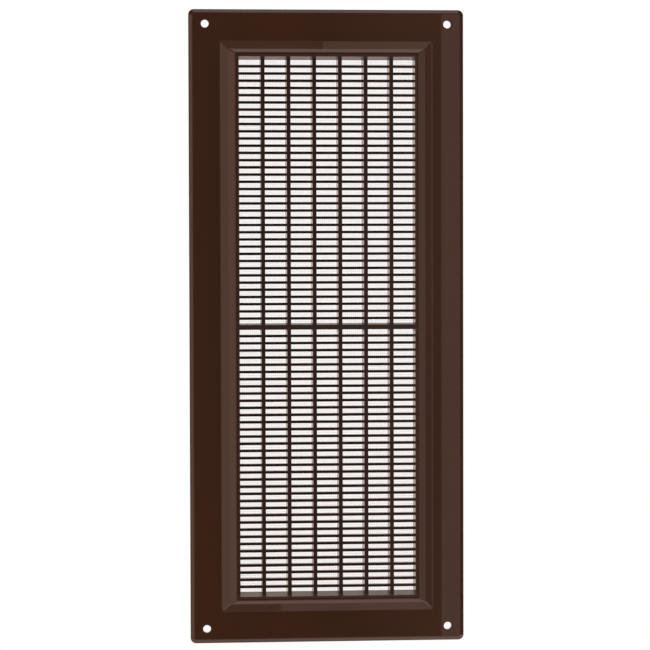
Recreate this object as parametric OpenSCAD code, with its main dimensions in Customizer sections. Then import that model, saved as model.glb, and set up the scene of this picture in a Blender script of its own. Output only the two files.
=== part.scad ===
// Screw-on ventilation grille for a rectangular wall opening.
// The grille is drawn lying on its back, X across, Y up the wall and Z out of the wall, and is stood
// up at the end. The origin is the centre of the plane where its back meets the wall.

/* [Front frame] */
// Overall width of the frame
frame_w = 152.1; // [140:0.1:220]
// Overall height of the frame
frame_h = 350; // [250:1:500]
// Height of the flat flange above the wall
flange_t = 3.4; // [2.8:0.1:4]
// Wall thickness of the moulding, measured straight down
skin = 2.2; // [1.8:0.1:2.4]
// Radius of the flange's outer corners
corner_r = 3; // [2.5:0.5:8]
// Width of the bevel round the outer edge
bevel_w = 2; // [0.5:0.1:2.4]
// Depth of the bevel round the outer edge
bevel_d = 1.3; // [0.4:0.1:1.6]
// Width of the solid rim that meets the wall
rim_w = 2; // [1.5:0.1:3]

/* [Bezel] */
// Width of the flat flange, outer edge to the foot of the bezel
flange_w = 17.6; // [14:0.1:24]
// Width of the bezel's slope along the upright sides
slope_side_w = 4.25; // [3:0.05:6]
// Width of the bezel's slope along the top and bottom
slope_end_w = 4.65; // [3:0.05:6]
// Width of the bezel's crest along the upright sides
crest_side_w = 4; // [3:0.05:8]
// Width of the bezel's crest along the top and bottom
crest_end_w = 2.25; // [2:0.05:8]
// Height above the wall of the crest's outer edge
shoulder_z = 7.3; // [6.8:0.1:8.4]
// Height above the wall of the crest's inner edge
crest_z = 8.5; // [7.8:0.1:9.5]
// Thickness of the return lip round the window
lip_t = 1.6; // [1.2:0.1:1.9]
// Height above the wall at which the lip ends and the grid seats
seat_z = 3.4; // [3:0.1:3.6]
// Thickness of the stiffening webs under the bezel, two to each hook
web_t = 1.2; // [0.8:0.1:1.6]
// Height above the wall of the webs' lower edges
web_low = 3.8; // [3.7:0.1:5]

/* [Screw holes] */
// Diameter of the screw holes
screw_d = 4.3; // [3.5:0.1:5.5]
// Distance of the hole centres from the upright edges
screw_side = 9.05; // [8:0.05:11]
// Distance of the hole centres from the top and bottom edges
screw_end = 8; // [7.8:0.1:11]
// Diameter of the bosses behind the screw holes
boss_d = 11; // [9:0.5:13]

/* [Grid] */
// Number of columns of cells
columns = 7; // [4:1:12]
// Number of blades above and below the cross bar
blades = 36; // [20:1:40]
// Thickness of the upright ribs
rib_t = 2.15; // [1.2:0.05:2.6]
// Thickness of the blades
blade_t = 1.45; // [1:0.05:1.8]
// Depth of the blades, front to back
blade_depth = 3.2; // [2:0.1:5]
// How far the blades sit behind the ribs' front edges
blade_recess = 0.5; // [0.2:0.1:1]
// Distance of the first blade's middle from the cross bar's middle
blade_first = 4.84; // [4.5:0.02:5.5]
// Distance of the last blade's middle from the front edge of the top or bottom wall
blade_last = 5.4; // [3:0.1:6]
// Thickness of the grid's upright side walls
side_wall = 1.5; // [1.2:0.05:2.5]
// Thickness of the grid's top and bottom walls at the front
end_wall = 1.55; // [1.5:0.05:3]
// How much thicker the top and bottom walls are at the back
end_slope = 1.05; // [0.5:0.05:2]
// Thickness of the cross bar at the front
bar_t = 2.6; // [1.8:0.1:3.2]
// How much further the cross bar reaches at the back, above and below
bar_slope = 0.55; // [0.2:0.05:1]
// Height of the ribs' front edges above the wall
grid_z = 7.5; // [7:0.1:7.7]
// Depth of the grid, ribs' front edges to the back of the collar
grid_depth = 13; // [10:0.5:25]
// Width of the seat flange, beyond the window's edge
seat_w = 2.6; // [2.2:0.1:2.8]
// Thickness of the seat flange
seat_t = 1.2; // [1:0.1:1.5]

/* [Snap fits] */
// Hooks along each upright side
side_hooks = 4; // [2:1:6]
// Hooks along the top and along the bottom
end_hooks = 2; // [1:1:3]
// Length of a hook along the window's edge
hook_w = 8; // [5:0.5:12]
// Thickness of a hook's stem
hook_t = 1.2; // [1:0.1:1.4]
// How far a hook reaches over the seat flange
hook_bite = 0.9; // [0.5:0.1:1.2]
// Height of a hook's tip above the wall
hook_low = 0.4; // [0.2:0.1:0.8]
// Thickness of a hook's barb at its point
barb_t = 0.5; // [0.3:0.1:0.8]
// Beads along each upright side of the collar
side_beads = 4; // [2:1:6]
// Beads along the top and along the bottom of the collar
end_beads = 2; // [1:1:3]
// Length of a bead
bead_w = 7; // [4:0.5:10]
// Height of a bead along the collar's depth
bead_h = 1.4; // [1:0.1:1.6]
// How far a bead stands out of the collar
bead_d = 0.7; // [0.4:0.1:1]
// Length of a bead's lead-in slope
bead_ramp = 0.9; // [0.5:0.1:0.9]
// Distance of the beads from the collar's back edge
bead_back = 1.2; // [1:0.1:1.4]

/* [Net and its frame] */
// Thickness of the insect net
net_t = 0.3; // [0.2:0.05:0.6]
// Thickness of the net frame's skirt
skirt_t = 1.2; // [1:0.1:2]
// Depth of the skirt over the collar
skirt_depth = 4.2; // [4:0.1:5]
// Thickness of the net frame behind the net
clamp_t = 2.8; // [2.4:0.1:4]
// Width of the net frame's cross bar, at the net
clamp_bar = 2.8; // [2.4:0.1:3.2]
// How much the net frame's openings widen towards the back, each side
clamp_slope = 0.6; // [0.2:0.1:0.6]
// How far the net frame's openings stand back from the grid's, each side
clamp_setback = 0.2; // [0:0.1:0.5]

/* [Clearances] */
// Gap between the grid and the frame's window, each side
window_gap = 0.1; // [0.1:0.05:0.3]
// Gap between the skirt and the collar, each side
skirt_gap = 0.15; // [0.1:0.05:0.3]
// Gap round a hook, past the edge of the seat flange
hook_gap = 0.2; // [0.1:0.05:0.4]
// Gap between a catch and what it catches
catch_gap = 0.05; // [0.02:0.01:0.1]
// Gap round a bead in its window
bead_gap = 0.3; // [0.2:0.05:0.5]

/* [Hidden] */
$fn = 48;

brown = [0.22, 0.13, 0.09];
dark_brown = [0.17, 0.10, 0.07];
pale_net = [0.86, 0.86, 0.84];

// Overshoot of a cutting shape past the faces that it cuts
over = 1;

window_w = frame_w - 2 * (flange_w + slope_side_w + crest_side_w);
window_h = frame_h - 2 * (flange_w + slope_end_w + crest_end_w);

collar_w = window_w - 2 * window_gap;
collar_h = window_h - 2 * window_gap;
collar_back = grid_z - grid_depth;

cell_w = (collar_w - 2 * side_wall - (columns - 1) * rib_t) / columns;
column_pitch = cell_w + rib_t;
// Heights of the grid's top wall above the middle, at the front and at the back
wall_front = collar_h / 2 - end_wall;
wall_back = wall_front - end_slope;
blade_pitch = (wall_front - blade_last - blade_first) / (blades - 1);

seat_low = seat_z - seat_t;
bead_low = collar_back + bead_back;
bead_high = bead_low + bead_h;
skirt_w = collar_w + 2 * skirt_gap;
skirt_h = collar_h + 2 * skirt_gap;
net_back = collar_back - net_t;
clamp_back = net_back - clamp_t;

// Places of n pieces spread evenly over a length, about its middle
function spread(n, length) = [for (i = [0 : n - 1]) (i + 0.5) * length / n - length / 2];

module block(w, h, low, high) {
    translate([-w / 2, -h / 2, low]) cube([w, h, high - low]);
}

// A profile given as [across, up] points, drawn out along Y, centred
module along_y(length, points) {
    translate([0, length / 2, 0]) rotate([90, 0, 0]) linear_extrude(length) polygon(points);
}

// The same profile drawn out along X, its "across" then lying along Y
module along_x(length, points) {
    rotate([0, 0, 90]) along_y(length, points);
}

// Profile of a slab as thick as the flange, with its front corners bevelled
function bevelled_bar(width) = [
    [-width / 2, 0], [width / 2, 0], [width / 2, flange_t - bevel_d], [width / 2 - bevel_w, flange_t],
    [-width / 2 + bevel_w, flange_t], [-width / 2, flange_t - bevel_d]
];

// Flat plate of the flange with round corners and a bevel round its front edge
module flange_plate() {
    along_y(frame_h - 2 * corner_r, bevelled_bar(frame_w));
    along_x(frame_w - 2 * corner_r, bevelled_bar(frame_h));
    for (sx = [-1, 1], sy = [-1, 1])
        translate([sx * (frame_w / 2 - corner_r), sy * (frame_h / 2 - corner_r), 0]) {
            cylinder(h = flange_t - bevel_d, r = corner_r);
            translate([0, 0, flange_t - bevel_d])
                cylinder(h = bevel_d, r1 = corner_r, r2 = corner_r - bevel_w);
        }
}

// Profile across the whole bezel, foot to foot, its window edges at reach from the middle
function bezel_bar(reach, crest, slope) =
    let (edge = reach + crest, foot = edge + slope) [
        [-foot, -over], [-foot, flange_t], [-edge, shoulder_z], [-reach, crest_z],
        [reach, crest_z], [edge, shoulder_z], [foot, flange_t], [foot, -over]
    ];

// Raised bezel as a low mitred mound: where the two profiles cross they make the mitres
module bezel_mound() {
    intersection() {
        along_y(frame_h, bezel_bar(window_w / 2, crest_side_w, slope_side_w));
        along_x(frame_w, bezel_bar(window_h / 2, crest_end_w, slope_end_w));
    }
}

// Everything under the skin: the mound and the flange's hollow, lowered by the skin
module hollow() {
    translate([0, 0, -skin]) bezel_mound();
    block(frame_w - 2 * rim_w, frame_h - 2 * rim_w, -over, flange_t - skin);
}

// Lip that turns back from the crest to the seat, its outer faces lip_t from the window
module return_lip() {
    intersection() {
        bezel_mound();
        block(window_w + 2 * lip_t, window_h + 2 * lip_t, seat_z, crest_z + over);
    }
}

// Stiffening webs that tie the lip to the slope on both sides of each hook: thin bars across the whole
// mound, which the window cuts down to their ends
module webs() {
    intersection() {
        bezel_mound();
        union() {
            for (y = spread(2 * side_hooks, window_h))
                translate([0, y, 0]) block(frame_w, web_t, web_low, crest_z + over);
            for (x = spread(2 * end_hooks, window_w))
                translate([x, 0, 0]) block(web_t, frame_h, web_low, crest_z + over);
        }
    }
}

// Profile of a hook, its origin at the window's edge: a stem down from the skin at height root, and a
// barb under the seat flange with a sloping lead-in
function hook_profile(root) =
    let (stem = seat_w + hook_gap, tip = seat_w - hook_bite, catch = seat_low - catch_gap) [
        [stem, root], [stem + hook_t, root], [stem + hook_t, hook_low], [stem, hook_low],
        [tip, catch - barb_t], [tip, catch], [stem, catch]
    ];

// Skin's middle height above a hook, distance u out from the window's edge
function skin_middle(u, crest, slope) =
    (u < crest ? crest_z - u * (crest_z - shoulder_z) / crest
               : shoulder_z - (u - crest) * (shoulder_z - flange_t) / slope) - skin / 2;

module hook(crest, slope) {
    along_y(hook_w, hook_profile(skin_middle(seat_w + hook_gap + hook_t, crest, slope)));
}

// Copies a shape made at the window's edge to places along all four sides
module round_sides(half_w, half_h, side_count, end_count) {
    for (side = [0, 1]) rotate([0, 0, side * 180]) {
        for (y = spread(side_count, 2 * half_h)) translate([half_w, y, 0]) children(0);
        for (x = spread(end_count, 2 * half_w)) rotate([0, 0, 90]) translate([half_h, x, 0]) children(1);
    }
}

module screw_places() {
    for (sx = [-1, 1], sy = [-1, 1])
        translate([sx * (frame_w / 2 - screw_side), sy * (frame_h / 2 - screw_end), 0]) children();
}

module upright() {
    rotate([90, 0, 0]) children();
}

module face_frame() {
    color(brown) upright() difference() {
        union() {
            difference() {
                union() {
                    flange_plate();
                    intersection() {
                        bezel_mound();
                        block(frame_w, frame_h, 0, crest_z + over);
                    }
                }
                hollow();
            }
            return_lip();
            webs();
            screw_places() cylinder(h = flange_t - skin / 2, d = boss_d);
            round_sides(window_w / 2, window_h / 2, side_hooks, end_hooks) {
                hook(crest_side_w, slope_side_w);
                hook(crest_end_w, slope_end_w);
            }
        }
        block(window_w, window_h, -over, crest_z + over);
        screw_places() translate([0, 0, -over]) cylinder(h = flange_t + 2 * over, d = screw_d);
    }
}

// One shaft between two ribs above the cross bar. It narrows towards the back, and carries on at the
// same slopes past both faces.
module shaft() {
    bar_step = over * bar_slope / grid_depth;
    wall_step = over * end_slope / grid_depth;
    along_x(cell_w, [
        [bar_t / 2 - bar_step, grid_z + over], [bar_t / 2 + bar_slope + bar_step, collar_back - over],
        [wall_back - wall_step, collar_back - over], [wall_front + wall_step, grid_z + over]
    ]);
}

// Rim, ribs and cross bar: one block, with a shaft cut for each column above and below the bar
module rib_lattice() {
    difference() {
        block(collar_w, collar_h, collar_back, grid_z);
        for (half = [0, 1], i = [0 : columns - 1])
            rotate([0, 0, half * 180]) translate([(i - (columns - 1) / 2) * column_pitch, 0, 0]) shaft();
    }
}

module blade_bank() {
    front = grid_z - blade_recess;
    for (i = [0 : blades - 1])
        translate([0, blade_first + i * blade_pitch, 0])
            block(collar_w - side_wall, blade_t, front - blade_depth, front);
}

// Wedge on the collar's outside: the skirt rides up its slope from behind and catches on its front
module bead() {
    root = -side_wall / 2;
    along_y(bead_w, [
        [root, bead_low], [0, bead_low], [bead_d, bead_low + bead_ramp],
        [bead_d, bead_high], [root, bead_high]
    ]);
}

module louvre_grid() {
    color(brown) upright() {
        rib_lattice();
        blade_bank();
        mirror([0, 1, 0]) blade_bank();
        difference() {
            block(window_w + 2 * seat_w, window_h + 2 * seat_w, seat_low, seat_z);
            block(collar_w - side_wall, collar_h - side_wall, seat_low - over, seat_z + over);
        }
        round_sides(collar_w / 2, collar_h / 2, side_beads, end_beads) {
            bead();
            bead();
        }
    }
}

module insect_net() {
    color(pale_net) upright() block(collar_w, collar_h, net_back, collar_back);
}

// Slot in the skirt that a bead snaps into
module bead_slot() {
    reach = skirt_gap + skirt_t + over;
    translate([reach / 2, 0, 0])
        block(reach, bead_w + 2 * bead_gap, bead_low - bead_gap, bead_high + catch_gap);
}

// Profile of an opening behind the net, its width there as given; it carries on past both faces
function clamp_profile(width) =
    let (step = over * clamp_slope / clamp_t, back_half = width / 2 + clamp_slope + step) [
        [step - width / 2, net_back + over], [width / 2 - step, net_back + over],
        [back_half, clamp_back - over], [-back_half, clamp_back - over]
    ];

module clamp_opening(w, h) {
    intersection() {
        along_y(frame_h, clamp_profile(w));
        along_x(frame_w, clamp_profile(h));
    }
}

module net_frame() {
    open_w = collar_w - 2 * side_wall + 2 * clamp_setback;
    open_h = wall_back + clamp_setback - clamp_bar / 2;
    color(dark_brown) upright() difference() {
        block(skirt_w + 2 * skirt_t, skirt_h + 2 * skirt_t, clamp_back, collar_back + skirt_depth);
        block(skirt_w, skirt_h, net_back, collar_back + skirt_depth + over);
        for (side = [-1, 1])
            translate([0, side * (open_h + clamp_bar) / 2, 0]) clamp_opening(open_w, open_h);
        round_sides(collar_w / 2, collar_h / 2, side_beads, end_beads) {
            bead_slot();
            bead_slot();
        }
    }
}

face_frame();
louvre_grid();
insect_net();
net_frame();
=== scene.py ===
"""Looks of a screw-on ventilation grille: moulded brown plastic, fine blades and a woven net."""

import math

import bpy
import numpy as np
from mathutils import Matrix, Vector


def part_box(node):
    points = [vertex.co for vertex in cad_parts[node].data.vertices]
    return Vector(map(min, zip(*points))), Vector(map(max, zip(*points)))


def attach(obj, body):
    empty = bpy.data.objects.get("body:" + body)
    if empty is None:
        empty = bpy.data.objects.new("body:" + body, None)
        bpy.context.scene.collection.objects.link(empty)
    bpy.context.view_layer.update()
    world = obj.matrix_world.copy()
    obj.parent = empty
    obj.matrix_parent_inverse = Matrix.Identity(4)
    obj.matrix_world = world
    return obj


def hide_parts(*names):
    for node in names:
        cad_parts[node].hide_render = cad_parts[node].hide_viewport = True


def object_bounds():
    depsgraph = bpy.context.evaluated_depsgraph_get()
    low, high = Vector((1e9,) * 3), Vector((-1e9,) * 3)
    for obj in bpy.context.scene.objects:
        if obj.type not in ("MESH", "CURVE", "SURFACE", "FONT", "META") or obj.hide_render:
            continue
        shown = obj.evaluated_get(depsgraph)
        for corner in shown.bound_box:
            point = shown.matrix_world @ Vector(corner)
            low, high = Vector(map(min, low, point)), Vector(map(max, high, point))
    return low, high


bl_info = {
    "name": "Ventilation Grille",
    "version": (1, 0, 0),
    "blender": (4, 5, 0),
    "location": "3D View > Sidebar > Grille",
    "description": "Finishes a grille's moulded parts, weaves its net and lights it",
    "category": "Object",
}

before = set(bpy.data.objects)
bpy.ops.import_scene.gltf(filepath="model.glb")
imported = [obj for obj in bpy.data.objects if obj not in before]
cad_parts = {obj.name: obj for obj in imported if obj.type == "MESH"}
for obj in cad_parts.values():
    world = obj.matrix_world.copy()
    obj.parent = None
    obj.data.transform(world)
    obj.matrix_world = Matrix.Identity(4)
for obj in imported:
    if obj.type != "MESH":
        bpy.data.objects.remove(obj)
CAD_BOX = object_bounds()
MM = 0.001
FULL_TURN = 2 * math.pi
WHITE = (1.0, 1.0, 1.0)


def colour(name, description, default):
    return bpy.props.FloatVectorProperty(
        name=name, description=description, default=default, size=3, min=0, max=1, subtype="COLOR"
    )


def length(name, description, default):
    return bpy.props.FloatProperty(
        name=name, description=description, default=default, min=0, max=1,
        precision=5, subtype="DISTANCE", unit="LENGTH",
    )


def share(name, description, default, top=1.0):
    return bpy.props.FloatProperty(
        name=name, description=description, default=default, min=0, max=top, subtype="FACTOR"
    )


def angle(name, description, degrees):
    return bpy.props.FloatProperty(
        name=name, description=description, default=math.radians(degrees),
        subtype="ANGLE", unit="ROTATION",
    )


class GrillePlastic(bpy.types.PropertyGroup):
    """Colours and finish of the moulded parts"""

    frame_colour: colour("Frame colour", "Colour of the front frame", (0.040, 0.0149, 0.0079))
    grid_colour: colour("Grid colour", "Colour of the ribs and blades", (0.0215, 0.0105, 0.0093))
    # The rim round the cells is coloured lighter than the ribs: painted light against the shade of
    # the crest over it
    grid_rim_painted_light_colour: colour(
        "Grid rim colour", "Colour of the rim round the cells", (0.044, 0.018, 0.0112)
    )
    clip_colour: colour(
        "Net frame colour", "Colour of the net frame behind the collar", (0.030, 0.0125, 0.008)
    )
    frame_roughness: share("Frame roughness", "Roughness of the polished front", 0.015)
    grid_roughness: share("Grid roughness", "Roughness of the ribs and blades", 0.16)
    clip_roughness: share("Net frame roughness", "Roughness of the net frame", 0.46)
    frame_edge: length("Frame edge radius", "Radius of the front frame's edges", 1.25 * MM)
    edge: length("Edge radius", "Radius of the edges of the grid and the net frame", 0.2 * MM)
    blade_front: length(
        "Blade front", "How far the blades' front edges stand out of the wall", 7.0 * MM
    )
    bezel_foot: length("Bezel foot", "Height of the bezel's foot above the middle", 157.4 * MM)
    bezel_reach: length(
        "Bezel reach", "Distance from the middle to the bezel's side foot", 59.0 * MM
    )
    side_wall_from: length(
        "Side wall", "Distance from the middle where the side wall begins", 48.7 * MM
    )
    end_wall_from: length(
        "End wall", "Height above the middle where the end wall begins", 147.9 * MM
    )


class GrilleNet(bpy.types.PropertyGroup):
    """Weave of the insect net"""

    pitch: length("Pitch", "Distance from one thread to the next", 1.15 * MM)
    thread: length("Thread width", "Width of a thread, as pressed flat by the loom", 0.14 * MM)
    thick: length("Thread thickness", "Thickness of a thread through the net", 0.13 * MM)
    thread_colour: colour("Thread colour", "Colour of the threads", (1.0, 0.80, 0.73))


class GrilleStudio(bpy.types.PropertyGroup):
    """Camera, room and floor"""

    distance: bpy.props.FloatProperty(
        name="Camera distance", description="Distance of the camera from the grille",
        default=1.45, min=0.5, max=20, subtype="DISTANCE", unit="LENGTH",
    )
    yaw: angle("Yaw", "How far the camera stands to the left of straight in front", 4.48)
    lift: angle("Lift", "How far the camera stands above the grille's middle", 1.82)
    roll: angle("Roll", "Turn of the camera about its own axis", -0.142)
    lens: bpy.props.FloatProperty(
        name="Focal length", description="Focal length on a 36 mm frame",
        default=144.83, min=20, max=1000, subtype="DISTANCE_CAMERA",
    )
    aim: bpy.props.FloatVectorProperty(
        name="Aim", description="What the camera looks at", default=(-0.00090, 0, 0.00089),
        size=3, precision=5, subtype="TRANSLATION", unit="LENGTH",
    )
    floor_drop: length("Floor drop", "How far the floor lies below the grille", 0.04)
    floor_radius: length("Floor radius", "Radius of the pale floor", 0.25)
    fill: share("Fill light", "Brightness of the room, as a white card shows it", 0.8, 2.0)


class Wire:
    """An output socket in a node tree. Arithmetic on wires adds Math nodes."""

    def __init__(self, tree, socket):
        self.tree = tree
        self.socket = socket

    def maths(self, operation, *terms):
        terms = dict(zip(("Value", "Value_001", "Value_002"), terms))
        return self.tree.add("ShaderNodeMath", {"operation": operation}, terms)

    def __add__(self, other):
        return self.maths("ADD", self, other)

    def __radd__(self, other):
        return self.maths("ADD", other, self)

    def __sub__(self, other):
        return self.maths("SUBTRACT", self, other)

    def __rsub__(self, other):
        return self.maths("SUBTRACT", other, self)

    def __mul__(self, other):
        return self.maths("MULTIPLY", self, other)

    def __rmul__(self, other):
        return self.maths("MULTIPLY", other, self)

    def __gt__(self, other):
        return self.maths("GREATER_THAN", self, other)

    def __lt__(self, other):
        return self.maths("LESS_THAN", self, other)


class Tree:
    """A node tree that is filled by calls"""

    def __init__(self, node_tree):
        self.nodes = node_tree.nodes
        self.links = node_tree.links
        self.nodes.clear()

    def add(self, kind, settings=None, sockets=None, output=0):
        """Adds a node, sets its settings and then its sockets, and returns one of its outputs. A
        socket is named by its identifier, and its value is a wire or a constant."""
        node = self.nodes.new(kind)
        for name, value in (settings or {}).items():
            setattr(node, name, value)
        inputs = {socket.identifier: socket for socket in node.inputs}
        for name, value in (sockets or {}).items():
            if isinstance(value, Wire):
                self.links.new(value.socket, inputs[name])
            else:
                inputs[name].default_value = value
        if not node.outputs:
            return node
        found = {socket.identifier: socket for socket in node.outputs}
        return Wire(self, found[output] if isinstance(output, str) else node.outputs[output])

    def beside(self, wire, *names):
        """A wire, and then other outputs of the node that it comes from"""
        return wire, *(Wire(self, wire.socket.node.outputs[name]) for name in names)

    def coordinates(self, where):
        """x, y and z of a place or a direction"""
        x = self.add("ShaderNodeSeparateXYZ", {}, {"Vector": where}, output="X")
        return self.beside(x, "Y", "Z")

    def rays(self):
        """1 on rays from the camera, on rays off gloss and on rays that went through a surface"""
        camera = self.add("ShaderNodeLightPath", output="Is Camera Ray")
        return self.beside(camera, "Is Glossy Ray", "Is Transmission Ray")

    def noise(self, where, scale, detail=2.0, roughness=0.5):
        return self.add(
            "ShaderNodeTexNoise", {"noise_dimensions": "3D"},
            {"Vector": where, "Scale": scale, "Detail": detail, "Roughness": roughness},
        )

    def stretched(self, where, scales):
        """The same place with each axis scaled, for a pattern that is longer one way"""
        return self.add("ShaderNodeMapping", {}, {"Vector": where, "Scale": scales})

    def blend(self, factor, first, second, how="MIX"):
        """The first colour at a factor of 0, and the second, or the two combined, at 1"""
        return self.add(
            "ShaderNodeMix", {"data_type": "RGBA", "blend_type": how},
            {"Factor_Float": factor, "A_Color": opaque(first), "B_Color": opaque(second)},
            output="Result_Color",
        )

    def step(self, value, low, high):
        """0 below low, 1 above high, and smooth between them"""
        return self.add(
            "ShaderNodeMapRange", {"interpolation_type": "SMOOTHSTEP"},
            {"Value": value, "From Min": low, "From Max": high, "To Min": 0.0, "To Max": 1.0},
        )

    def strip(self, value, rise, fall):
        """0 below and above, 1 between. rise and fall are each where a smooth change begins and
        where it ends."""
        return self.step(value, *rise) * (1 - self.step(value, *fall))


def opaque(value):
    """A wire as it is, or a colour with its alpha"""
    return value if isinstance(value, Wire) else (*value, 1.0)


def scaled(tone, factor):
    """A colour times a number, or channel by channel times three"""
    return np.multiply(tone, factor)


def magnitude(wire):
    return wire.maths("ABSOLUTE", wire)


def new_material(name):
    """A material, its emptied tree, and the Object coordinates in it"""
    material = bpy.data.materials.new(name)
    material.use_nodes = True
    tree = Tree(material.node_tree)
    where = tree.add("ShaderNodeTexCoord", output="Object")
    return material, tree, where


# Moulded plastic. A pattern is a noise in features to the metre, along each axis for the melt's
# flow and for smears and along all of them for the rest. A range is where a mask begins and is full
FLOW, FLOW_RANGE, FLOW_DARK, FLOW_LIGHT = (14.0, 30.0, 4.5), (0.3, 0.7), 0.93, 1.07
SPECKS, SPECKS_RANGE = 900.0, (0.66, 0.78)
PATCHES, PATCHES_RANGE = 22.0, (0.42, 0.7)
DUST_TONE, DUST_COVER, DUST_DULLS = (0.42, 0.38, 0.34), 0.05, 0.10
WORN, WORN_RANGE = 160.0, (0.35, 0.65)
EDGE_RANGE = (0.01, 0.12)       # of 1 less the cosine between the rounded and the flat normal
RUB_GAIN, RUB_HAZE, RUB_COVER, RUB_DULLS = 2.2, 0.01, 0.18, 0.05
SMEARS, UNSMEARED, SMEARED_GAIN = (45.0, 45.0, 12.0), 0.86, 0.28
SINK_MARKS = 26.0
BEVEL_SAMPLES = 6
PLASTIC_IOR, GLOSS_TINT = 1.5, (1.0, 0.80, 0.72)


def moulded_plastic(
    name, tone, roughness, edge, grain, grain_depth, sink_depth, shade=None, matte=None, crisp=None
):
    """Moulded plastic. Its colour drifts a little where the melt flowed, fine dust dulls it in
    places, and its edges are rounded by the mould, with edge as their radius, and rubbed a little
    lighter. The steel's polish leaves a grain of that many features to the metre, grain_depth
    deep, and the surface sinks in wide marks by sink_depth. shade is a function of the tree, the
    place and the colour that may paint light and shade onto part of the colour, matte one of the
    tree and the place for extra roughness, and crisp one for where edges stay sharp, from 0 to 1."""
    material, tree, where = new_material(name)
    flow = tree.noise(tree.stretched(where, FLOW), 1.0, detail=3.0, roughness=0.55)
    drift = tree.step(flow, *FLOW_RANGE)
    base = tree.blend(drift, scaled(tone, FLOW_DARK), scaled(tone, FLOW_LIGHT))
    # Painted light and shade, for the finishes that pass a shade function
    if shade:
        base = shade(tree, where, base)
    specks = tree.noise(where, SPECKS, detail=4.0, roughness=0.7)
    patches = tree.noise(where, PATCHES)
    dust = tree.step(specks, *SPECKS_RANGE) * tree.step(patches, *PATCHES_RANGE)
    base = tree.blend(dust * DUST_COVER, base, DUST_TONE)

    rounded = tree.add("ShaderNodeBevel", {"samples": BEVEL_SAMPLES}, {"Radius": edge})
    flat = tree.add("ShaderNodeNewGeometry", output="Normal")
    if crisp:
        rounded = tree.blend(crisp(tree, where), rounded, flat)
    along = tree.add(
        "ShaderNodeVectorMath", {"operation": "DOT_PRODUCT"},
        {"Vector": rounded, "Vector_001": flat}, output="Value",
    )
    worn = tree.noise(where, WORN, detail=3.0)
    rub = tree.step(1.0 - along, *EDGE_RANGE) * tree.step(worn, *WORN_RANGE)
    base = tree.blend(rub * RUB_COVER, base, scaled(tone, RUB_GAIN) + RUB_HAZE)

    smears = tree.noise(tree.stretched(where, SMEARS), 1.0, detail=3.0, roughness=0.6)
    rough = roughness * (UNSMEARED + SMEARED_GAIN * smears) + DUST_DULLS * dust + RUB_DULLS * rub
    if matte:
        rough = rough + matte(tree, where)

    pores = tree.noise(where, grain, detail=3.0, roughness=0.6)
    sink = tree.noise(where, SINK_MARKS, detail=1.0)
    height = pores * grain_depth + sink * sink_depth
    normal = tree.add(
        "ShaderNodeBump", {},
        {"Strength": 1.0, "Distance": 1.0, "Height": height, "Normal": rounded},
    )
    shader = tree.add(
        "ShaderNodeBsdfPrincipled", {},
        {
            "Base Color": base, "Roughness": rough, "Normal": normal, "IOR": PLASTIC_IOR,
            "Specular Tint": opaque(GLOSS_TINT),
        },
    )
    tree.add("ShaderNodeOutputMaterial", {}, {"Surface": shader})
    return material


# Net thread
THREAD_MAP = "thread"
TWIST = 0.45            # length of one twist, as a share of the pitch
# The twist's grooves are darker in colour: painted shade along the twist
TWIST_RANGE, TWIST_PAINTED_SHADE = (-1.0, 0.2), 0.86
TWIST_DEPTH, TWIST_STRENGTH = 0.02 * MM, 0.6
GRIMY, GRIMY_RANGE, GRIME, GRIME_COVER = 60.0, (0.45, 0.8), (0.7, 0.66, 0.6), 0.35
THREAD_ROUGHNESS, THREAD_ROUGHNESS_GAIN = 0.55, 0.2
THREAD_TRANSMISSION = 0.86


def net_thread(name, tone, pitch):
    """Pale twisted thread that lets light through. Its own UV map runs along the thread in metres
    and round it from 0 to 1, so the twist, a sine of both, is a slanting stripe on it: bumped,
    and darker in its grooves as painted shade."""
    material, tree, where = new_material(name)
    run, turn, _ = tree.coordinates(tree.add("ShaderNodeUVMap", {"uv_map": THREAD_MAP}))
    phase = run * (FULL_TURN / (TWIST * pitch)) + turn * FULL_TURN
    twist = phase.maths("SINE", phase)
    patches = tree.noise(where, GRIMY, detail=3.0)
    grime = tree.step(patches, *GRIMY_RANGE) * GRIME_COVER
    base = tree.blend(grime, tone, scaled(tone, GRIME))
    # Painted shade: the thread's colour is darker in the twist's grooves
    base = tree.blend(tree.step(twist, *TWIST_RANGE), scaled(tone, TWIST_PAINTED_SHADE), base)
    rough = THREAD_ROUGHNESS + THREAD_ROUGHNESS_GAIN * patches
    normal = tree.add(
        "ShaderNodeBump", {},
        {"Strength": TWIST_STRENGTH, "Distance": TWIST_DEPTH, "Height": twist},
    )
    shader = tree.add(
        "ShaderNodeBsdfPrincipled", {},
        {
            "Base Color": base, "Roughness": rough, "Normal": normal,
            "Transmission Weight": THREAD_TRANSMISSION,
        },
    )
    tree.add("ShaderNodeOutputMaterial", {}, {"Surface": shader})
    return material


def finish_node(name, material):
    """Gives a CAD node one material, in the slots that it has."""
    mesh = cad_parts[name].data
    if not mesh.materials:
        mesh.materials.append(material)
    for i in range(len(mesh.materials)):
        mesh.materials[i] = material


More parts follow.
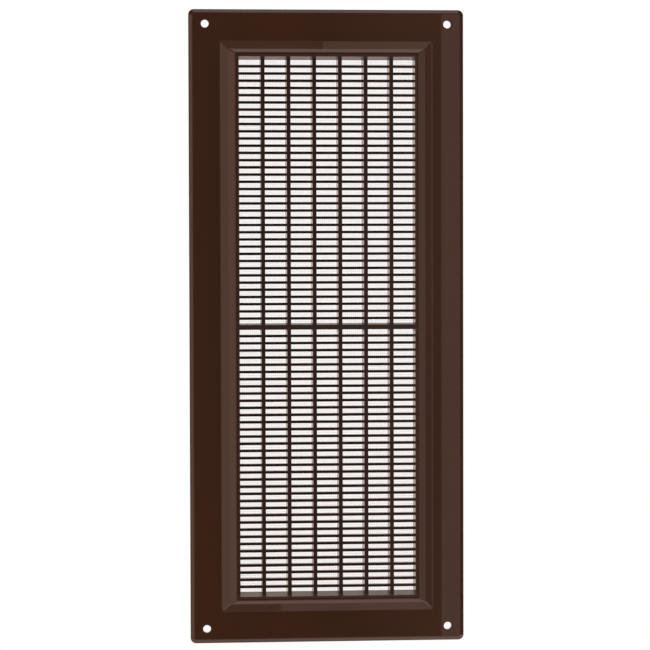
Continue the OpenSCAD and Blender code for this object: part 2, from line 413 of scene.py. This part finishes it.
def carried_tubes(name, across, section):
    """Four-sided tubes along many lines at once. across is an array of centre points, (line, step,
    3), and section one of the four corners' offsets, (4, 3), which are added to every centre
    point. Ring k of a tube is joined to ring k + 1 corner by corner, and the first and last rings
    are closed. The UV map holds the distance along the line and the share of the way round it."""
    lines, steps, _ = across.shape
    corners = len(section)
    points = across[:, :, None, :] + section[None, None, :, :]
    number = np.arange(lines * steps * corners).reshape(lines, steps, corners)
    here, there = number[:, :-1, :], number[:, 1:, :]
    walls = np.stack([here, np.roll(here, -1, 2), np.roll(there, -1, 2), there], axis=-1)
    caps = np.stack([number[:, 0, ::-1], number[:, -1, :]], axis=1)
    faces = np.concatenate([walls.reshape(-1, corners), caps.reshape(-1, corners)])

    strides = np.linalg.norm(np.diff(across, axis=1), axis=2)
    run = np.concatenate([np.zeros((lines, 1)), np.cumsum(strides, axis=1)], axis=1)
    turn = np.arange(corners + 1) / corners
    run_here = np.broadcast_to(run[:, :-1, None], here.shape)
    run_there = np.broadcast_to(run[:, 1:, None], here.shape)
    turn_low = np.broadcast_to(turn[None, None, :-1], here.shape)
    turn_high = np.broadcast_to(turn[None, None, 1:], here.shape)
    wall_uv = np.stack(
        [
            np.stack([run_here, turn_low], -1), np.stack([run_here, turn_high], -1),
            np.stack([run_there, turn_high], -1), np.stack([run_there, turn_low], -1),
        ],
        axis=-2,
    )
    uv = np.concatenate([wall_uv.reshape(-1, 2), np.zeros((caps.size, 2))])

    mesh = bpy.data.meshes.new(name)
    mesh.vertices.add(number.size)
    mesh.vertices.foreach_set("co", points.astype(np.float32).ravel())
    mesh.loops.add(faces.size)
    mesh.loops.foreach_set("vertex_index", faces.astype(np.int32).ravel())
    mesh.polygons.add(len(faces))
    mesh.polygons.foreach_set("loop_start", np.arange(0, faces.size, corners, dtype=np.int32))
    mesh.uv_layers.new(name=THREAD_MAP).data.foreach_set("uv", uv.astype(np.float32).ravel())
    mesh.update(calc_edges=True)
    mesh.validate()
    mesh.shade_smooth()
    piece = bpy.data.objects.new(name, mesh)
    bpy.context.scene.collection.objects.link(piece)
    return piece


def thread_places(low, high, pitch, thread):
    """Centres of as many threads as fit between two edges, a pitch apart and centred"""
    count = int((high - low - thread) / pitch) + 1
    return (low + high) / 2 + (np.arange(count) - (count - 1) / 2) * pitch


# The two sines of a thread's bow: size, radians in half a thread, and radians of phase to the
# metre across the net
BOWS = ((0.035 * MM, 9.0, 310.0), (0.02 * MM, 31.0, 1270.0))
NEARLY_HALF = 0.47      # what a thread reaches each way, as a share of its width or thickness


def bowed(place, run, half):
    """Slight bow of a thread in the net's plane, from its place across the net and the distance
    run along it, from -half to half: the sum of size * sin(turn * run / half + phase * place)"""
    return sum(size * np.sin(turn * run / half + phase * place) for size, turn, phase in BOWS)


def woven_threads(name, places, crossings, ends, over, settings, upright):
    """Threads of one direction of a plain weave. A thread passes over and under the crossing ones
    in turn: its height through the net at crossing j is over * (-1)^(i + j) for thread i, and it
    is straight between crossings. It lies in the net's middle plane at its two ends."""
    low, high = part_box("insect_net")
    middle = (low.y + high.y) / 2
    steps = np.concatenate([[ends[0]], crossings, [ends[1]]])
    wave = np.zeros((len(places), len(steps)))
    i, j = np.meshgrid(np.arange(len(places)), np.arange(len(crossings)), indexing="ij")
    wave[:, 1:-1] = over * (-1.0) ** (i + j)
    run = np.broadcast_to(steps, wave.shape)
    side = np.broadcast_to(places[:, None], wave.shape) + bowed(places[:, None], run, ends[1])
    w, t = NEARLY_HALF * settings.thread, NEARLY_HALF * settings.thick
    if upright:
        across = np.stack([side, middle + wave, run], axis=-1)
        section = np.array([[-w, -t, 0], [w, -t, 0], [w, t, 0], [-w, t, 0]])
    else:
        across = np.stack([run, middle + wave, side], axis=-1)
        section = np.array([[0, -t, w], [0, -t, -w], [0, t, -w], [0, t, w]])
    return carried_tubes(name, across, section)


# Where the crisp line along the bezel's foot begins and ends, as distances outwards from the foot
FOOT_LINE_RISE, FOOT_LINE_FALL = (-1.3 * MM, -0.7 * MM), (0, 0.1 * MM)


class GRILLE_OT_face_frame(bpy.types.Operator):
    """Finish the front frame in polished brown plastic"""

    bl_idname = "grille.face_frame"
    bl_label = "Front Frame"

    def execute(self, context):
        plastic = context.scene.grille_plastic

        def foot(tree, where):
            """1 on a narrow line just inside the foot of the bezel's top and bottom bars, as far
            as the bezel reaches to the sides"""
            x, _, z = tree.coordinates(where)
            side, height = magnitude(x), magnitude(z)
            rise = [plastic.bezel_foot + part for part in FOOT_LINE_RISE]
            fall = [plastic.bezel_foot + part for part in FOOT_LINE_FALL]
            return tree.strip(height, rise, fall) * (side < plastic.bezel_reach)

        finish_node(
            "face_frame",
            moulded_plastic(
                "polished_brown", list(plastic.frame_colour), plastic.frame_roughness,
                plastic.frame_edge, grain=2600.0, grain_depth=0.00005 * MM,
                sink_depth=0.0006 * MM, crisp=foot,
            ),
        )
        return {"FINISHED"}


# Painted shade in the shafts: a darker colour that begins and is full at these distances behind
# the blades' fronts
PAINTED_SHAFT_SHADE_TONE, PAINTED_SHAFT_SHADE_SHARE, PAINTED_SHAFT_SHADE_FADE = (0.009, 0.006, 0.005), 0.8, (-0.2 * MM, -0.02 * MM)
# Roughness that unpolished steel adds. It begins a little before the end walls, and on the cross
# bar it ends between these distances from the middle
ROUGH_STEEL, END_WALL_FADE, BAR_FADE = 0.17, 0.4 * MM, (2.2 * MM, 2.6 * MM)
# The rim's lighter colour is painted light, against the shade of the crest over it
PAINTED_RIM_LIGHT_SETBACK = 1.0 * MM      # from the start of the end wall to where the rim's colour begins


class GRILLE_OT_louvre_grid(bpy.types.Operator):
    """Finish the ribs and blades"""

    bl_idname = "grille.louvre_grid"
    bl_label = "Ribs and Blades"

    def execute(self, context):
        plastic = context.scene.grille_plastic

        def painted_rim_light_and_shaft_shade(tree, where, base):
            """Painted light on the rim round the cells, which is coloured lighter, and painted
            shade from the blades' fronts to the back, which is coloured darker
            """
            x, y, z = tree.coordinates(where)
            side, height = magnitude(x), magnitude(z)
            past_side = side > plastic.side_wall_from
            past_end = height > plastic.end_wall_from + PAINTED_RIM_LIGHT_SETBACK
            rim = side.maths("MAXIMUM", past_side, past_end)
            # Painted light: the rim round the cells is coloured lighter, against the shade of the
            # crest over it
            base = tree.blend(rim, base, list(plastic.grid_rim_painted_light_colour))
            # Painted shade: darker colour from just in front of the blades' fronts to the back
            behind = tree.step(y, *(part - plastic.blade_front for part in PAINTED_SHAFT_SHADE_FADE))
            return tree.blend(behind * PAINTED_SHAFT_SHADE_SHARE, base, PAINTED_SHAFT_SHADE_TONE)

        def rough_walls(tree, where):
            """The end walls and the cross bar are drawn over steel that isn't polished."""
            _, _, z = tree.coordinates(where)
            height, wall = magnitude(z), plastic.end_wall_from
            end = tree.step(height, wall - END_WALL_FADE, wall)
            bar = 1 - tree.step(height, *BAR_FADE)
            return ROUGH_STEEL * (end + bar)

        finish_node(
            "louvre_grid",
            moulded_plastic(
                "grid_brown", list(plastic.grid_colour), plastic.grid_roughness, plastic.edge,
                grain=2200.0, grain_depth=0.002 * MM, sink_depth=0.02 * MM, shade=painted_rim_light_and_shaft_shade,
                matte=rough_walls,
            ),
        )
        return {"FINISHED"}


class GRILLE_OT_net_frame(bpy.types.Operator):
    """Finish the clip-on net frame in satin brown plastic"""

    bl_idname = "grille.net_frame"
    bl_label = "Net Frame"

    def execute(self, context):
        plastic = context.scene.grille_plastic
        finish_node(
            "net_frame",
            moulded_plastic(
                "satin_brown", list(plastic.clip_colour), plastic.clip_roughness, plastic.edge,
                grain=1500.0, grain_depth=0.008 * MM, sink_depth=0.02 * MM,
            ),
        )
        return {"FINISHED"}


WEAVE_CLEARANCE = 0.01 * MM


class GRILLE_OT_insect_net(bpy.types.Operator):
    """Weave the insect net, as upright warp and level weft threads"""

    bl_idname = "grille.insect_net"
    bl_label = "Insect Net"

    def execute(self, context):
        settings = context.scene.grille_net
        low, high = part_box("insect_net")
        columns = thread_places(low.x, high.x, settings.pitch, settings.thread)
        rows = thread_places(low.z, high.z, settings.pitch, settings.thread)
        over = (high.y - low.y - settings.thick) / 2 - WEAVE_CLEARANCE
        warp = woven_threads(
            "net_warp", columns, rows, (low.z, high.z), over, settings, upright=True
        )
        weft = woven_threads(
            "net_weft", rows, columns, (low.x, high.x), -over, settings, upright=False
        )
        thread = net_thread("net_thread", list(settings.thread_colour), settings.pitch)
        for piece in (warp, weft):
            piece.data.materials.append(thread)
            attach(piece, "root")
        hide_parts("insect_net")
        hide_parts("insect_net")
        return {"FINISHED"}


SENSOR_WIDTH = 36       # millimetres
CLIP_START, CLIP_END = 0.1, 30

NEUTRAL = (1.0, 0.98, 0.96)
WARM = (1.0, 0.85, 0.78)
WARMEST = (1.0, 0.78, 0.66)
COOL = (0.80, 0.86, 1.0)

# Soft boxes: name, degrees to the right of straight in front, degrees up, distance, width and
# height in metres, brightness and tone
LAMPS = (
    ("card_right", 29, 0, 1.6, (1.1555, 0.90), 0.66, NEUTRAL),
    ("card_between_right", 62.5, 0, 1.6, (0.27, 0.90), 1.10, NEUTRAL),
    ("card_side_right", 74.5, 0, 1.35, (0.36, 1.00), 0.04, NEUTRAL),
    ("card_edge_right", 91.5, 0, 1.35, (0.42, 1.00), 0.18, WARM),
    ("card_left", -47, 0, 1.5, (1.24, 0.90), 1.21, WARM),
    ("card_far_left", -79, 0, 1.35, (0.42, 1.00), 0.86, WARM),
    ("card_top", 6, 62, 1.75, (0.90, 0.40), 2.05, WARM),
    ("card_high", 8, 73.5, 1.75, (0.90, 0.30), 1.82, COOL),
    ("card_overhead", 90, 73.7, 1.3, (0.50, 0.573), 0.64, WARM),
    ("card_overhead_left", -90, 79.2, 1.27, (0.50, 0.668), 0.26, WARMEST),
)

# The room as gloss shows it: white straight behind the grille, a dim strip right of the middle and
# nearly dark elsewhere. A pair is where a change begins and ends, as a part of the unit vector
ROOM_BACK, ROOM_BACK_LEVEL, ROOM_BACK_TONE = (0.55, 0.95), 0.97, (1.0, 0.80, 0.73)
ROOM_STRIP_RISE, ROOM_STRIP_FALL, ROOM_STRIP_LEVEL = (0.07, 0.125), (0.1205, 0.123), 0.12
ROOM_LEVEL = 0.03

# The floor, in rings round a small middle. Its rim is white to the camera: a pair of shares of the
# radius is where the white begins and is full
FLOOR_RINGS, FLOOR_SPOKES, FLOOR_MIDDLE = 24, 96, 4 * MM
FLOOR_COLOUR, FLOOR_GLOW = (0.9, 0.9, 0.9), 0.55
FLOOR_RIM, FLOOR_RIM_GLOW = (0.45, 0.97), 0.45

# The floor as gloss shows it, all painted light and shadow: a bright card glowing in front of
# the grille though it is no lamp, less bright near the wall, and a painted shadow on the dim floor
# at its foot. The card's edges are distances in front of the wall, and the changes along it and
# along the foot are distances to the right
CARD_RISE, CARD_FALL = (11.6 * MM, 12.8 * MM), (58 * MM, 70 * MM)
CARD_NEAR_FALL = (17 * MM, 24 * MM)
CARD_RIGHT = (-60 * MM, 50 * MM)
# Painted light: how bright the glowing card is to gloss, brighter to the right
PAINTED_CARD_LEVEL, PAINTED_CARD_RIGHT_GAIN, PAINTED_CARD_TONE = 1.85, 0.1, (1.0, 0.83, 0.78)
PAINTED_CARD_NEAR_LEVEL, PAINTED_CARD_NEAR_RIGHT_GAIN, PAINTED_CARD_NEAR_TONE = 1.35, 0.35, NEUTRAL
# Painted shadow of the grille on the floor at its foot, as gloss shows it, lighter towards the
# middle and the right
FOOT_MIDDLE, FOOT_RIGHT = (-24 * MM, -20.5 * MM), (18 * MM, 30 * MM)
PAINTED_FOOT_SHADOW_LEVEL, PAINTED_FOOT_SHADOW_MIDDLE_GAIN, PAINTED_FOOT_SHADOW_RIGHT_GAIN, PAINTED_FOOT_SHADOW_TONE = 0.34, 0.40, 0.12, (1.0, 0.76, 0.72)


def from_front(way, rise):
    """Unit vector from the grille, way radians to the right of straight in front and rise radians
    up: sin(way) cos(rise), -cos(way) cos(rise), sin(rise)"""
    return Vector(
        (math.sin(way) * math.cos(rise), -math.cos(way) * math.cos(rise), math.sin(rise))
    )


def set_camera(scene, studio):
    """A camera that looks at the aim from the left and a little above"""
    data = bpy.data.cameras.new("camera")
    data.lens, data.sensor_width = studio.lens, SENSOR_WIDTH
    data.clip_start, data.clip_end = CLIP_START, CLIP_END
    back = from_front(-studio.yaw, studio.lift)
    facing = (-back).to_track_quat("-Z", "Y").to_matrix().to_4x4()
    turn = facing @ Matrix.Rotation(studio.roll, 4, "Z")
    camera = bpy.data.objects.new("camera", data)
    camera.matrix_world = Matrix.Translation(Vector(studio.aim) + back * studio.distance) @ turn
    scene.collection.objects.link(camera)
    scene.camera = camera


def set_room(scene, studio):
    """White to the camera and through the net, and to gloss a room whose only bright things are
    the part straight behind the grille and the lamps"""
    world = bpy.data.worlds.new("studio")
    world.use_nodes = True
    scene.world = world
    tree = Tree(world.node_tree)
    x, y, _ = tree.coordinates(tree.add("ShaderNodeTexCoord", output="Generated"))
    behind = tree.step(y, *ROOM_BACK)
    camera, glossy, through = tree.rays()
    seen = camera.maths("MAXIMUM", camera, through)
    dim = tree.strip(x, ROOM_STRIP_RISE, ROOM_STRIP_FALL)
    gloss_level = ROOM_LEVEL + ROOM_STRIP_LEVEL * dim + ROOM_BACK_LEVEL * behind
    level = seen + (1 - seen) * (glossy * gloss_level + (1 - glossy) * studio.fill)
    tone = tree.blend((1 - seen) * glossy * behind, WHITE, ROOM_BACK_TONE)
    light = tree.add("ShaderNodeBackground", {}, {"Color": tone, "Strength": level})
    tree.add("ShaderNodeOutputWorld", {}, {"Surface": light})


def floor_material(studio):
    """Pale under the grille, where its shadow falls, and pure white to the camera at the rim. Gloss
    shows painted light, a bright strip glowing in front of the grille, and a painted shadow on the
    dim floor at its foot."""
    material, tree, where = new_material("pale_floor")
    flat = tree.add(
        "ShaderNodeVectorMath", {"operation": "MULTIPLY"},
        {"Vector": where, "Vector_001": (1, 1, 0)},
    )
    reach = tree.add(
        "ShaderNodeVectorMath", {"operation": "LENGTH"}, {"Vector": flat}, output="Value"
    )
    rim = tree.step(reach, *(part * studio.floor_radius for part in FLOOR_RIM))
    camera, glossy, _ = tree.rays()
    shown = camera * (FLOOR_GLOW + FLOOR_RIM_GLOW * rim) + glossy
    x, y, _ = tree.coordinates(where)
    ahead = 0 - y
    # Painted light: a bright strip on the floor that glows to gloss, though it is no lamp
    painted_card = tree.strip(ahead, CARD_RISE, CARD_FALL)
    near = painted_card * (1 - tree.step(ahead, *CARD_NEAR_FALL))
    right = tree.step(x, *CARD_RIGHT)
    painted_light_level = near * (PAINTED_CARD_NEAR_LEVEL + PAINTED_CARD_NEAR_RIGHT_GAIN * right) + (1 - near) * (
        PAINTED_CARD_LEVEL + PAINTED_CARD_RIGHT_GAIN * right
    )
    # Painted shadow: how bright the floor at the grille's foot is to gloss
    painted_shadow_level = (
        PAINTED_FOOT_SHADOW_LEVEL + PAINTED_FOOT_SHADOW_MIDDLE_GAIN * tree.step(x, *FOOT_MIDDLE)
        + PAINTED_FOOT_SHADOW_RIGHT_GAIN * tree.step(x, *FOOT_RIGHT)
    )
    # To gloss the floor is emission only: the painted card of light and the painted shadow at its
    # foot
    level = 1 + glossy * (painted_shadow_level + painted_card * (painted_light_level - painted_shadow_level) - 1)
    tone = tree.blend(painted_card, PAINTED_FOOT_SHADOW_TONE, PAINTED_CARD_TONE)
    tone = tree.blend(near, tone, PAINTED_CARD_NEAR_TONE)
    tone = tree.blend(glossy, WHITE, tone)
    glow = tree.blend(1.0, tone, level, "MULTIPLY")
    pale = tree.add("ShaderNodeBsdfDiffuse", {}, {"Color": opaque(FLOOR_COLOUR)})
    white = tree.add("ShaderNodeEmission", {}, {"Color": glow, "Strength": 1.0})
    mixed = tree.add(
        "ShaderNodeMixShader", {}, {"Fac": shown, "Shader": pale, "Shader_001": white}
    )
    tree.add("ShaderNodeOutputMaterial", {}, {"Surface": mixed})
    return material


def lay_floor(studio):
    """A round, level floor: points at r * (cos a, sin a), with r from its small middle to its
    radius in rings and a all the way round in spokes. The innermost ring is closed."""
    r = np.linspace(FLOOR_MIDDLE, studio.floor_radius, FLOOR_RINGS)[:, None]
    a = np.linspace(0, FULL_TURN, FLOOR_SPOKES, endpoint=False)[None, :]
    height = np.full((FLOOR_RINGS, FLOOR_SPOKES), CAD_BOX[0].z - studio.floor_drop)
    points = np.stack([r * np.cos(a), r * np.sin(a), height], -1).reshape(-1, 3)
    number = np.arange(FLOOR_RINGS * FLOOR_SPOKES).reshape(FLOOR_RINGS, FLOOR_SPOKES)
    inner, outer = number[:-1], number[1:]
    quads = np.stack([inner, outer, np.roll(outer, -1, 1), np.roll(inner, -1, 1)], -1)
    mesh = bpy.data.meshes.new("floor")
    mesh.from_pydata(points.tolist(), [], quads.reshape(-1, 4).tolist() + [number[0].tolist()])
    floor = bpy.data.objects.new("floor", mesh)
    bpy.context.scene.collection.objects.link(floor)
    floor.data.materials.append(floor_material(studio))


def hang_lamp(name, way, rise, far, size, level, tone):
    """A soft box that faces the grille from a distance of far, way and rise degrees to the right
    and up. level is its brightness, where 1 is white in a mirror."""
    data = bpy.data.lights.new(name, "AREA")
    data.shape, data.size, data.size_y = "RECTANGLE", *size
    data.energy = level * size[0] * size[1] * math.pi
    data.color = tone
    toward = from_front(math.radians(way), math.radians(rise))
    facing = toward.to_track_quat("Z", "Y").to_matrix().to_4x4()
    lamp = bpy.data.objects.new(name, data)
    lamp.matrix_world = Matrix.Translation(toward * far) @ facing
    lamp.visible_camera = False
    bpy.context.scene.collection.objects.link(lamp)


class GRILLE_OT_studio(bpy.types.Operator):
    """Set up the camera, the white surroundings, the pale floor and the soft lamps"""

    bl_idname = "grille.studio"
    bl_label = "Studio"

    def execute(self, context):
        studio = context.scene.grille_studio
        context.scene.view_settings.view_transform = "Standard"
        set_camera(context.scene, studio)
        set_room(context.scene, studio)
        lay_floor(studio)
        for lamp in LAMPS:
            hang_lamp(*lamp)
        return {"FINISHED"}


# Groups of settings and the steps that use them, in the panel's order
PANEL_ROWS = (
    ("grille_plastic", ("grille.face_frame", "grille.louvre_grid", "grille.net_frame")),
    ("grille_net", ("grille.insect_net",)),
    ("grille_studio", ("grille.studio",)),
)


class GRILLE_PT_panel(bpy.types.Panel):
    """Steps of the grille's finish, in order"""

    bl_label = "Ventilation Grille"
    bl_idname = "GRILLE_PT_panel"
    bl_space_type = "VIEW_3D"
    bl_region_type = "UI"
    bl_category = "Grille"

    def draw(self, context):
        for group, steps in PANEL_ROWS:
            box = self.layout.box()
            for step in steps:
                box.operator(step)
            settings = getattr(context.scene, group)
            for name in settings.__annotations__:
                box.prop(settings, name)


GROUPS = {
    "grille_plastic": GrillePlastic, "grille_net": GrilleNet, "grille_studio": GrilleStudio,
}
CLASSES = (
    *GROUPS.values(), GRILLE_OT_face_frame, GRILLE_OT_louvre_grid, GRILLE_OT_net_frame,
    GRILLE_OT_insect_net, GRILLE_OT_studio, GRILLE_PT_panel,
)


def register():
    for cls in CLASSES:
        bpy.utils.register_class(cls)
    for name, group in GROUPS.items():
        setattr(bpy.types.Scene, name, bpy.props.PointerProperty(type=group))


def unregister():
    for name in GROUPS:
        delattr(bpy.types.Scene, name)
    for cls in reversed(CLASSES):
        bpy.utils.unregister_class(cls)


def main():
    register()
    bpy.ops.grille.face_frame()
    bpy.ops.grille.louvre_grid()
    bpy.ops.grille.net_frame()
    bpy.ops.grille.insect_net()
    bpy.ops.grille.studio()


if __name__ == "__main__":
    main()
